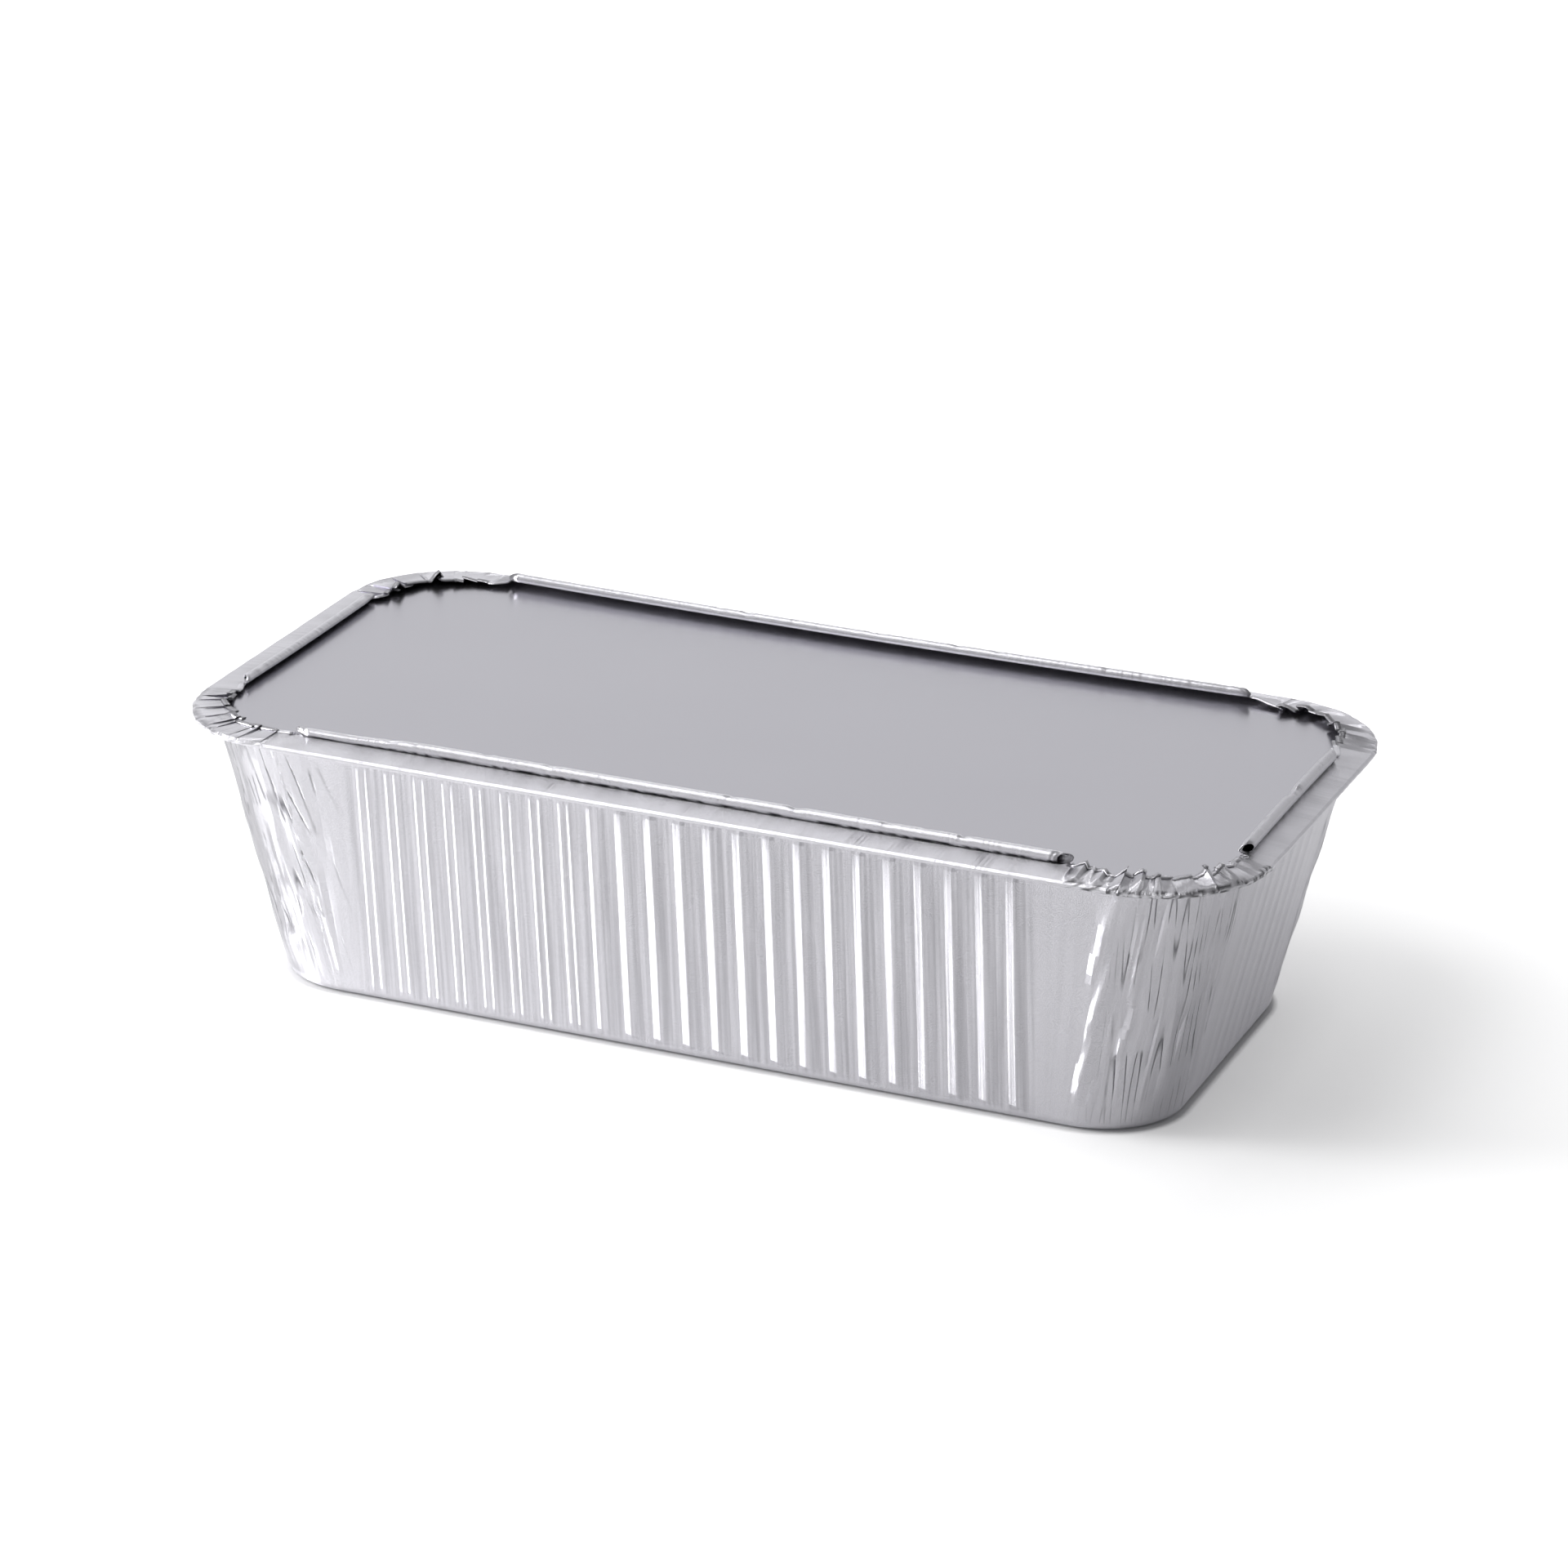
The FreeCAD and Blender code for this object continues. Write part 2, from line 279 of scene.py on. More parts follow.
def all_columns():
    """Every column once round the tray, anticlockwise from the left end of the front."""
    columns = []
    for side in range(4):
        columns += straight_columns(side) + corner_columns(side)
    columns.append(columns[0])
    return columns


def plan_row(inset, z, part, share=0.0):
    """A row measured inwards from the fold."""
    return Row(HALF_LENGTH - inset, HALF_WIDTH - inset, FOLD_RADIUS - inset, z, part, share)


def foot_row(inset, z, part, share=0.0):
    """A row measured inwards from the foot of the walls."""
    return Row(FOOT_HALF_LENGTH - inset, FOOT_HALF_WIDTH - inset, FOOT_RADIUS - inset, z, part, share)


def wall_rows():
    """Rows up the wall, closest together near its ends, where the ribs run out."""
    foot = foot_row(0, BASE_BEND, "wall")
    head = plan_row(LEDGE_WIDTH, LEDGE_UNDER, "wall")
    lowest = [0.0, 0.016, 0.034, 0.052, 0.07]
    between = [mix(0.07, 0.92, i / 20) for i in range(1, 20)]
    highest = [1 - share for share in reversed(lowest)]
    rows = []
    for share in lowest + between + highest:
        plan = [mix(a, b, share) for a, b in zip(foot[:4], head[:4])]
        rows.append(Row(*plan, "wall", share))
    return rows


def all_rows():
    """Every row of the sheet, from the base out, up the wall, over the fold and round the bead."""
    rows = [foot_row(14, 0, "base"), foot_row(6, 0, "base"), foot_row(BASE_BEND, 0, "base")]
    for degrees in (70, 45, 20):
        turn = math.radians(degrees)
        bend = BASE_BEND * (1 - math.cos(turn))
        rows.append(foot_row(bend, BASE_BEND * (1 - math.sin(turn)), "bend"))
    rows += wall_rows()
    rows.append(plan_row(LEDGE_WIDTH * 0.55, LEDGE_UNDER, "ledge", 0.5))
    # the fold is round below, and slopes like a chamfer above
    for degrees in (-90, -60, -30, -5, 22):
        turn = math.radians(degrees)
        z = LEDGE_UNDER + HALF_FOLD * (1 + math.sin(turn))
        rows.append(plan_row(HALF_FOLD * (1 - math.cos(turn)), z, "fold"))
    rows.append(plan_row(HALF_FOLD * 0.85, FLAP_TOP, "fold"))
    for i in range(1, FLAP_STEPS + 1):
        rows.append(plan_row(HALF_FOLD, FLAP_TOP + FLAP_RISE * i / FLAP_STEPS, "flap", i / FLAP_STEPS))
    for share in BEAD_SHARES:
        rows.append(plan_row(HALF_FOLD, FLAP_TOP + FLAP_RISE, "bead", share))
    return rows


def crumple(column):
    """How strongly the wall is wrinkled at a column, from 0 to 1: the front's right end stays plain."""
    if column.corner == FRONT_RIGHT:
        return smooth(0.04, 0.2, column.turn)
    if column.corner is not None:
        return 1.0
    if column.side == FRONT:
        return smooth(0.1, 0.7, -column.share)
    return smooth(0.65, 0.95, abs(column.share))


def plan_point(row, column, turn):
    """Point on a row's rounded rectangle, and the direction out of the tray there."""
    if column.corner is None:
        side = SIDES[column.side]
        length, width = (row.half_x, row.half_y) if column.side in LONG_SIDES else (row.half_y, row.half_x)
        straight = length - row.radius
        along = column.place + column.share * (straight - rib_edge(column.side))
        return side.along * along + side.out * width + Vector((0, 0, row.z)), side.out.copy()
    angle = math.radians(90 * (column.corner - 1 + turn))
    out = Vector((math.cos(angle), math.sin(angle), 0))
    sign_x, sign_y = CORNER_SIGNS[column.corner]
    centre = Vector((sign_x * (row.half_x - row.radius), sign_y * (row.half_y - row.radius), row.z))
    return centre + out * row.radius, out


def around_corner(column):
    """The corner that a column is in or next to, and how far round from its start: none among the ribs."""
    if column.corner is not None:
        return column.corner, column.turn * CORNER_ARC
    plain = plain_length(column.side)
    if column.share > 0:
        return column.side, (column.share - 1) * plain
    if column.share < 0:
        return (column.side - 1) % 4, CORNER_ARC + (column.share + 1) * plain
    return None, 0.0


def crease_push(column, height):
    """How far the bold creases lift the wall: each rises steeply, and falls off slowly round the corner."""
    corner, around = around_corner(column)
    push = 0.0
    for crease in CREASES:
        above = height - crease.up
        if crease.corner != corner or abs(above) > crease.length / 2:
            continue
        across = around - crease.around - crease.lean * above
        slow = 2.4 if crease.height > 0 else 1.0
        # its height and its width both taper to its ends, like a lens
        along = above / (crease.length / 2)
        taper = math.sqrt(max(0.0001, 1 - along * along))
        across /= crease.width * taper * (1.0 if across < 0 else slow)
        push += crease.height * taper * max(0.0, 1 - abs(across))
    return push


def rib_push(point, column, share):
    """How far a rib lifts the wall, with the dents in its upper end, deepest at the left of the front."""
    nearest = round(column.place / RIB_PITCH) * RIB_PITCH
    rise = smooth(RIB_FOOT_GAP, RIB_FOOT_GAP + RIB_RUN_OUT, share * WALL_LENGTH)
    fall = smooth(RIB_HEAD_GAP, RIB_HEAD_GAP + RIB_RUN_OUT, (1 - share) * WALL_LENGTH)
    depth = rib_height(rib_at(column.side, nearest), column.place - nearest)
    # dents about 2 mm across, and up to 0.2 mm deep
    dented = smooth(-5, -30, column.place) if column.side == FRONT else 0.35
    dent = noise.noise(Vector((point.x / 2.1, point.y / 2.1, point.z / 2.6)))
    dent = 0.22 * min(0.0, dent) * dented * smooth(0.80, 0.90, share) * smooth(1.0, 0.97, share)
    return depth * rise * fall * RIB_STRENGTHS[column.side] + dent


def wrinkle_push(point, column, share):
    """How far wrinkles press a corner's wall: long folds that lean a little, short ones, and broad dents."""
    corner, around = around_corner(column)
    # each corner has a stretch of the pattern of its own
    across = around + 0.08 * (point.z - 25) + 40 * corner
    long_folds = abs(noise.noise(Vector((across / 2.4, 0.5, point.z / 26))))
    short_folds = abs(noise.noise(Vector((across / 1.2, 5.5, point.z / 12))))
    dents = noise.noise(Vector((point.x / 5.0 + 7, point.y / 5.0, point.z / 10)))
    fade = smooth(0.0, 0.12, share) * mix(0.7, 1.0, share)
    return crumple(column) * fade * (0.7 * long_folds + 0.3 * short_folds + 0.3 * dents - 0.25)


def wall_push(point, column, share):
    """How far the wall stands out from its plain form at a point: slow waves, ribs, wrinkles and creases."""
    # the waves are about 20 mm across, and 0.1 mm high
    push = 0.12 * noise.noise(Vector((point.x / 21, point.y / 21, point.z / 30)))
    push *= smooth(0, 0.2, share) * smooth(1, 0.85, share)
    if column.corner is None and column.share == 0:
        push += rib_push(point, column, share)
    if crumple(column) > 0:
        push -= wrinkle_push(point, column, share)
    return push + crease_push(column, point.z)


def peak_lift(column):
    """Extra height of the rim where a corner stands up in a peak."""
    lift = 0.0
    for share, height, half_width in PEAKS[column.corner]:
        lift += height * max(0.0, 1 - abs(column.turn - share) / half_width)
    return lift


def toward_corner(column):
    """How far the flap of a plain end has turned into its corner's, from 0 to 1."""
    return 0.0 if column.rolled else smooth(0.6, 1.0, abs(column.share))


def flap_width(column, point):
    """From the fold to the free edge of the flap."""
    if column.corner is not None:
        return CORNER_FLAPS[column.corner] + column.step + 0.2 * noise.noise(point / 2.5)
    side = SIDES[column.side]
    straight = half_straight(column.side)
    along = column.place + column.share * (straight - rib_edge(column.side))
    width = side.flap + side.bow * (1 - (along / straight) ** 2)
    corner = column.side if column.share > 0 else (column.side - 1) % 4
    return mix(width, CORNER_FLAPS[corner], toward_corner(column)) + column.step


def fold_crush(point, column, part):
    """How far the ledge or the fold is crushed inwards, more so where the rim is pleated."""
    rough = 0.45 if pleated(column) else 0.1
    wave = abs(noise.noise(Vector((point.x / 9, point.y / 9, 1.5))))
    fine = abs(noise.noise(Vector((point.x / 1.6, point.y / 1.6, 4.5))))
    crimp = 0.07 * noise.noise(point / 0.55) if pleated(column) and part == "fold" else 0.0
    return rough * (wave + fine) + abs(crimp)


def bead_flatness(side, x):
    """How far the bead is pressed down: all along the left side, and at the front's left end."""
    if side == FRONT:
        return mix(0.62, 1.0, smooth(-66, -48, x))
    return 0.6 if side == LEFT else 1.0


def bead_offset(column, share, out, point):
    """From the flap's free edge to a place round the bead, or round the hem that it is crushed to."""
    turn = math.radians(-90 + BEAD_TURN * share)
    if not column.rolled:
        across = -out * (HEM_HALF_WIDTH * math.cos(turn))
        return across + Vector((0, 0, HEM_HALF_HEIGHT * (1 + math.sin(turn))))
    # dents about 2 mm across take up to a fifth off the radius
    dent = noise.noise(Vector((point.x / 1.9, point.y / 1.9, 2.5 + share * 2)))
    radius = (TRAY_HIGH.z - FLAP_TOP - SIDES[column.side].rise) / 2 - FOIL
    radius *= 1 - 0.22 * smooth(0.25, 0.75, dent)
    # past its outer side the bead winds inwards
    inner = radius * (1 - 0.42 * smooth(BEAD_OUTER_SHARE, 1.0, share))
    across = -out * (inner * math.cos(turn))
    flat = bead_flatness(column.side, point.x)
    return across + Vector((0, 0, flat * (radius + inner * math.sin(turn))))


def bead_slant(column, share):
    """Shortens the outer side of a bead near its ends, so that each is cut aslant."""
    if not column.rolled or column.share == 0:
        return Vector()
    side = SIDES[column.side]
    stop = side.plain_end if column.share > 0 else side.plain_start
    from_end = (1 - abs(column.share)) * plain_length(column.side) - stop
    outer = (1 - math.cos(math.radians(-90 + BEAD_TURN * share))) / 2
    pull = BEAD_SLANT * outer * smooth(5.0, 0.0, from_end)
    return side.along * -math.copysign(pull, column.share)


def flap_point(row, column):
    """Where the flap, or the bead or hem at its free edge, lies for a row and a column."""
    pulled = row.share if row.part == "flap" else 1.0
    opened = pulled ** PLEAT_OPENING
    turn = mix(column.turn, column.folded, opened)
    edge_point, _ = plan_point(row, column, turn)
    inset = (flap_width(column, edge_point) - (HALF_LENGTH - row.half_x)) * pulled
    moved = row._replace(half_x=row.half_x - inset, half_y=row.half_y - inset,
                         radius=max(1.0, row.radius - inset))
    point, out = plan_point(moved, column, turn)
    ripple = noise.noise(Vector((point.x / 5, point.y / 5, 8.5)))
    point.z += 0.06 * ripple * math.sin(math.pi * pulled)
    if column.corner is None:
        point.z += (SIDES[column.side].rise - FLAP_RISE) * pulled * (1 - toward_corner(column))
        point.z += opened * column.lift
    else:
        point.z += opened * column.lift + pulled * peak_lift(column)
        point.z = min(point.z, TRAY_HIGH.z - 2 * HEM_HALF_HEIGHT - FOIL)
    if row.part == "flap":
        return point
    return point + bead_offset(column, row.share, out, point) + bead_slant(column, row.share)


def sheet_point(row, column):
    """Where the sheet's outside lies for a row and a column of the grid."""
    if row.part in ("flap", "bead"):
        return flap_point(row, column)
    point, out = plan_point(row, column, column.turn)
    if row.part == "wall":
        return point + out * wall_push(point, column, row.share)
    if row.part in ("ledge", "fold"):
        return point - out * fold_crush(point, column, row.part)
    return point


def lengths_round(columns):
    """How far each column is from the first, along the middle of the walls."""
    middle = foot_row(-3, 25, "wall", 0.5)
    points = [plan_point(middle, column, column.turn)[0] for column in columns]
    lengths = [0.0]
    for point, next_point in zip(points, points[1:]):
        lengths.append(lengths[-1] + (next_point - point).length)
    return lengths


def painted_shade_amount(row, column, point):
    """How much painted shade darkens a spot of the foil, from 0 to 1: in folds and cracks, and on the flap
    and one corner's wall.
    """
    at_front_right = column.corner in (FRONT_RIGHT, None)
    # painted shade in the crack under a bead, which comes and goes
    if row.part == "bead" and column.rolled:
        crack = smooth(0.56, 0.60, row.share) * smooth(0.80, 0.72, row.share)
        return crack * mix(0.3, 1.0, smooth(-0.25, 0.1, noise.noise(point / 0.9)))
    # painted shade on the flap, deepening towards the bead
    if row.part == "flap" and not pleated(column):
        return (0.22 if column.side == FRONT else 0.1) * smooth(0.0, 1.0, row.share)
    # painted shade in the valleys between pleats
    if row.part in ("flap", "bead") and pleated(column) and column.lift == 0:
        return 0.8 * smooth(0.3, 0.9, row.share if row.part == "flap" else 1.0)
    # short dashes of painted shade where the fold is crimped
    if row.part == "fold" and pleated(column):
        return (0.8 if at_front_right else 0.4) * smooth(0.0, 0.2, noise.noise(point / 0.6))
    # painted shade on the crushed hem
    if row.part == "bead" and pleated(column):
        return 0.2 if at_front_right else 0.45
    # painted shade on the wall of the front left corner, which the left softbox's reflection would otherwise
    # burn white
    if row.part == "wall" and column.corner == FRONT_LEFT:
        return 0.38 * smooth(0.95, 0.7, column.turn)
    return 0.0


def press_lines(row, column):
    """How strongly the upright lines of the press show: fully on the ribs of the long walls."""
    if row.part == "wall" and column.side in LONG_SIDES and column.share == 0:
        return 1.0
    return 0.2


def sharpest_bend(row, column):
    """Angle in degrees from which an edge of the sheet is left sharp."""
    if row.part == "bead":
        return 60
    return 9 if row.part == "wall" and column.corner is None else 24


def lay_sheet(bm, rows, columns):
    """Lays a grid along the base, walls, fold, flap and bead, and notes how the foil looks at each vertex,
    painted shade included.
    """
    bmesh.ops.create_grid(bm, x_segments=len(columns) - 1, y_segments=len(rows) - 1, size=1)
    names = ("crumpled", "round_tray", "painted_shade", "pressed", "sharpest")
    crumpled, round_tray, painted_shade, pressed, sharpest = [bm.verts.layers.float.new(name) for name in names]
    lengths = lengths_round(columns)
    bm.verts.index_update()
    for vert in bm.verts:
        row = rows[vert.index // len(columns)]
        column = columns[vert.index % len(columns)]
        vert.co = sheet_point(row, column)
        above_base = smooth(0.0, 12.0, vert.co.z)
        vert[crumpled] = crumple(column) * mix(0.3, 1.0, above_base) if row.part == "wall" else 0.0
        vert[round_tray] = lengths[vert.index % len(columns)] * MM
        # painted shade in folds, cracks and pleats, on the flap and on the front left corner's wall
        vert[painted_shade] = painted_shade_amount(row, column, vert.co)
        vert[pressed] = press_lines(row, column)
        vert[sharpest] = sharpest_bend(row, column)


def cut_bead_ends(bm, rows, columns):
    """Parts each bead from the flat hem beside it, so that its ends are open."""
    first_bead = next(i for i, row in enumerate(rows) if row.part == "bead")
    torn = []
    for face in bm.faces:
        spots = [divmod(vert.index, len(columns)) for vert in face.verts]
        kinds = {columns[spot[1]].rolled for spot in spots}
        if len(kinds) == 2 and max(spot[0] for spot in spots) >= first_bead:
            torn.append(face)
    bmesh.ops.delete(bm, geom=torn, context="FACES_ONLY")


def close_sheet(bm):
    """Joins the first and last columns, fills the middle of the base, and turns the faces outwards."""
    bmesh.ops.remove_doubles(bm, verts=bm.verts, dist=0.0005)
    inner = [edge for edge in bm.edges if edge.is_boundary and max(v.co.z for v in edge.verts) < 0.01]
    bmesh.ops.contextual_create(bm, geom=inner)
    bmesh.ops.recalc_face_normals(bm, faces=bm.faces)
    base = min(bm.faces, key=lambda face: face.calc_center_median().z)
    if base.normal.z > 0:
        bmesh.ops.reverse_faces(bm, faces=bm.faces)


def mark_bends(bm):
    """Shades the sheet smooth, but for its sharp bends."""
    sharpest = bm.verts.layers.float["sharpest"]
    for face in bm.faces:
        face.smooth = True
    for edge in bm.edges:
        limit = math.radians(min(vert[sharpest] for vert in edge.verts))
        if len(edge.link_faces) == 2 and edge.calc_face_angle(0) > limit:
            edge.smooth = False
    bm.verts.layers.float.remove(sharpest)


def make_tray():
    """The foil: one sheet, pressed to a tray and folded over the lid."""
    rows = all_rows()
    columns = all_columns()
    bm = bmesh.new()
    lay_sheet(bm, rows, columns)
    cut_bead_ends(bm, rows, columns)
    close_sheet(bm)
    mark_bends(bm)
    tray = finish_mesh(bm, "pressed_foil_tray", foil_material())
    wall = tray.modifiers.new("foil thickness", "SOLIDIFY")
    wall.thickness = FOIL * MM
    wall.offset = -1
    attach(tray, "root")
    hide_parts("foil_tray")


def finish_mesh(bm, name, material):
    """Turns millimetres to metres and makes the object."""
    bmesh.ops.scale(bm, vec=(MM, MM, MM), verts=bm.verts)
    mesh = bpy.data.meshes.new(name)
    bm.to_mesh(mesh)
    bm.free()
    mesh.materials.append(material)
    piece = bpy.data.objects.new(name, mesh)
    bpy.context.scene.collection.objects.link(piece)
    return piece


# Materials

def colour(code):
    """Linear colour and alpha from an sRGB hex value."""
    values = [int(code[i:i + 2], 16) / 255 for i in (1, 3, 5)]
    linear = [v / 12.92 if v <= 0.04045 else ((v + 0.055) / 1.055) ** 2.4 for v in values]
    return (*linear, 1.0)


def add_node(tree, kind, inputs=None, **settings):
    """Adds a node, with its settings, and sets or links its inputs."""
    made = tree.nodes.new(kind)
    for key, value in settings.items():
        setattr(made, key, value)
    for key, value in (inputs or {}).items():
        if isinstance(value, bpy.types.NodeSocket):
            tree.links.new(value, made.inputs[key])
        else:
            made.inputs[key].default_value = value
    return made


def new_material(name):
    material = bpy.data.materials.new(name)
    material.use_nodes = True
    material.node_tree.nodes.clear()
    return material, material.node_tree


def per_metre(millimetres):
    """Scale of a pattern whose repeat has a real size."""
    return 1 / (millimetres * MM)


def foil_material():
    """Rolled aluminium foil, bright side out: a mirror that rolling lines and fine creases soften."""
    material, tree = new_material("rolled aluminium foil")
    place = add_node(tree, "ShaderNodeTexCoord").outputs["Object"]
    axes = add_node(tree, "ShaderNodeSeparateXYZ", {0: place}).outputs
    crumpled = add_node(tree, "ShaderNodeAttribute", attribute_name="crumpled").outputs["Fac"]
    round_tray = add_node(tree, "ShaderNodeAttribute", attribute_name="round_tray").outputs["Fac"]
    pressed = add_node(tree, "ShaderNodeAttribute", attribute_name="pressed").outputs["Fac"]
    painted_shade = add_node(tree, "ShaderNodeAttribute", attribute_name="painted_shade").outputs["Fac"]

    # fine creases that run up the corners, about 2 mm apart, each a narrow groove in a flat face
    leant = add_node(tree, "ShaderNodeMath", {0: axes["Z"], 1: 0.1, 2: round_tray}, operation="MULTIPLY_ADD")
    tall = add_node(tree, "ShaderNodeCombineXYZ", {"X": leant.outputs[0], "Y": axes["Z"]})
    tall = add_node(tree, "ShaderNodeMapping", {"Vector": tall.outputs[0], "Scale": (1.0, 0.06, 1.0)})
    folds = add_node(tree, "ShaderNodeTexNoise", {
        "Vector": tall.outputs[0], "Scale": per_metre(2.2), "Detail": 0.0})
    folds = add_node(tree, "ShaderNodeMath", {0: folds.outputs["Fac"], 1: 0.5}, operation="SUBTRACT")
    folds = add_node(tree, "ShaderNodeMath", {0: folds.outputs[0]}, operation="ABSOLUTE")
    folds = add_node(tree, "ShaderNodeMapRange", {
        "Value": folds.outputs[0], "From Min": 0.0, "From Max": 0.035})
    # they come and go over about 9 mm
    patches = add_node(tree, "ShaderNodeTexNoise", {"Vector": place, "Scale": per_metre(9.0), "Detail": 1.0})
    patches = add_node(tree, "ShaderNodeMapRange", {
        "Value": patches.outputs["Fac"], "From Min": 0.42, "From Max": 0.55})
    creased = add_node(tree, "ShaderNodeMath", {0: crumpled, 1: patches.outputs[0]}, operation="MULTIPLY")
    # upright lines that the press draws on the walls, about 1 mm apart
    drawn = add_node(tree, "ShaderNodeCombineXYZ", {"X": round_tray, "Y": axes["Z"]})
    drawn = add_node(tree, "ShaderNodeMapping", {"Vector": drawn.outputs[0], "Scale": (1.0, 0.02, 1.0)})
    drawn = add_node(tree, "ShaderNodeTexNoise", {
        "Vector": drawn.outputs[0], "Scale": per_metre(0.9), "Detail": 2.0})

    # the drawn lines are duller, and painted shade darkens foil that folds in on itself at the bottom of the
    # groove
    dull = add_node(tree, "ShaderNodeMapRange", {
        "Value": drawn.outputs["Fac"], "From Min": 0.35, "From Max": 0.65, "To Min": 0.0, "To Max": pressed})
    groove = add_node(tree, "ShaderNodeMath", {0: 1.0, 1: folds.outputs[0]}, operation="SUBTRACT")
    groove = add_node(tree, "ShaderNodeMath", {
        0: groove.outputs[0], 1: creased.outputs[0]}, operation="MULTIPLY")
    tone_and_painted_shade = add_node(tree, "ShaderNodeMix", {
        "Factor": dull.outputs[0], "A": colour("#EBEAEF"), "B": colour("#D2D1D6")}, data_type="RGBA")
    tone_and_painted_shade = add_node(tree, "ShaderNodeMix", {
        "Factor": groove.outputs[0], "A": tone_and_painted_shade.outputs[2], "B": colour("#8E8D92")}, data_type="RGBA")
    # painted shade, noted at each vertex of the sheet, darkens the foil towards #26262A
    tone_and_painted_shade = add_node(tree, "ShaderNodeMix", {
        "Factor": painted_shade, "A": tone_and_painted_shade.outputs[2], "B": colour("#26262A")}, data_type="RGBA")

    # gentle waves of thin foil, about 7 mm across
    waves = add_node(tree, "ShaderNodeTexNoise", {"Vector": place, "Scale": per_metre(7.0), "Detail": 2.0})
    # rolling lines and handling marks, drawn at 0.25 mm so that they show
    grain = add_node(tree, "ShaderNodeTexNoise", {"Vector": place, "Scale": per_metre(0.25), "Detail": 2.0})
    sharp = add_node(tree, "ShaderNodeMath", {0: creased.outputs[0], 1: 0.8}, operation="MULTIPLY")
    shape = add_node(tree, "ShaderNodeBump", {
        "Height": waves.outputs["Fac"], "Strength": 0.25, "Distance": 0.0004})
    shape = add_node(tree, "ShaderNodeBump", {
        "Height": drawn.outputs["Fac"], "Strength": 0.5, "Distance": 0.00018, "Normal": shape.outputs[0]})
    shape = add_node(tree, "ShaderNodeBump", {
        "Height": folds.outputs[0], "Strength": sharp.outputs[0], "Distance": 0.00022,
        "Normal": shape.outputs[0]})
    shape = add_node(tree, "ShaderNodeBump", {
        "Height": grain.outputs["Fac"], "Strength": 0.05, "Distance": 0.00005, "Normal": shape.outputs[0]})

    # clear patches between hazy ones, finer than a pixel, so that both reflections are seen at once
    specks = add_node(tree, "ShaderNodeTexNoise", {"Vector": place, "Scale": per_metre(0.05), "Detail": 0.0})
    # the corner that was creased at the left is clearer than the rest
    hazy = add_node(tree, "ShaderNodeMapRange", {
        "Value": axes["X"], "From Min": -0.084, "From Max": -0.074, "To Min": 0.27, "To Max": 0.54})
    blur = add_node(tree, "ShaderNodeMapRange", {
        "Value": specks.outputs["Fac"], "From Min": 0.46, "From Max": 0.54,
        "To Min": 0.24, "To Max": hazy.outputs[0]})
    # the rolling lines run level round the walls, so they smear reflections up and down
    facing = add_node(tree, "ShaderNodeNewGeometry").outputs["Normal"]
    level = add_node(tree, "ShaderNodeVectorMath", {0: (0.0, 0.0, 1.0), 1: facing}, operation="CROSS_PRODUCT")
    # a hint of X, so that a level face has a direction too
    level = add_node(tree, "ShaderNodeVectorMath", {
        0: level.outputs[0], 1: (0.003, 0.0, 0.0)}, operation="ADD")
    surface = add_node(tree, "ShaderNodeBsdfPrincipled", {
        "Base Color": tone_and_painted_shade.outputs[2], "Metallic": 1.0, "Roughness": blur.outputs[0],
        "Anisotropic": 1.0, "Anisotropic Rotation": 0.25, "Tangent": level.outputs[0],
        "Normal": shape.outputs[0]})
    add_node(tree, "ShaderNodeOutputMaterial", {"Surface": surface.outputs[0]})
    return material


def laminate_material():
    """Foil laminate on board, matt side out: even silver-grey with a satin sheen and no grain to speak of."""
    material, tree = new_material("satin foil laminate")
    place = add_node(tree, "ShaderNodeTexCoord").outputs["Object"]
    # the board's slow undulation, and its pulp showing faintly through the foil
    board = add_node(tree, "ShaderNodeTexNoise", {"Vector": place, "Scale": per_metre(45.0), "Detail": 1.0})
    pulp = add_node(tree, "ShaderNodeTexNoise", {"Vector": place, "Scale": per_metre(0.6), "Detail": 3.0})
    shape = add_node(tree, "ShaderNodeBump", {
        "Height": board.outputs["Fac"], "Strength": 0.3, "Distance": 0.0006})
    shape = add_node(tree, "ShaderNodeBump", {
        "Height": pulp.outputs["Fac"], "Strength": 0.12, "Distance": 0.00003, "Normal": shape.outputs[0]})
    blur = add_node(tree, "ShaderNodeMapRange", {
        "Value": pulp.outputs["Fac"], "To Min": 0.21, "To Max": 0.26})
    surface = add_node(tree, "ShaderNodeBsdfPrincipled", {
        "Base Color": colour("#C9C8CE"), "Metallic": 1.0, "Roughness": blur.outputs[0],
        "Normal": shape.outputs[0]})
    add_node(tree, "ShaderNodeOutputMaterial", {"Surface": surface.outputs[0]})
    return material


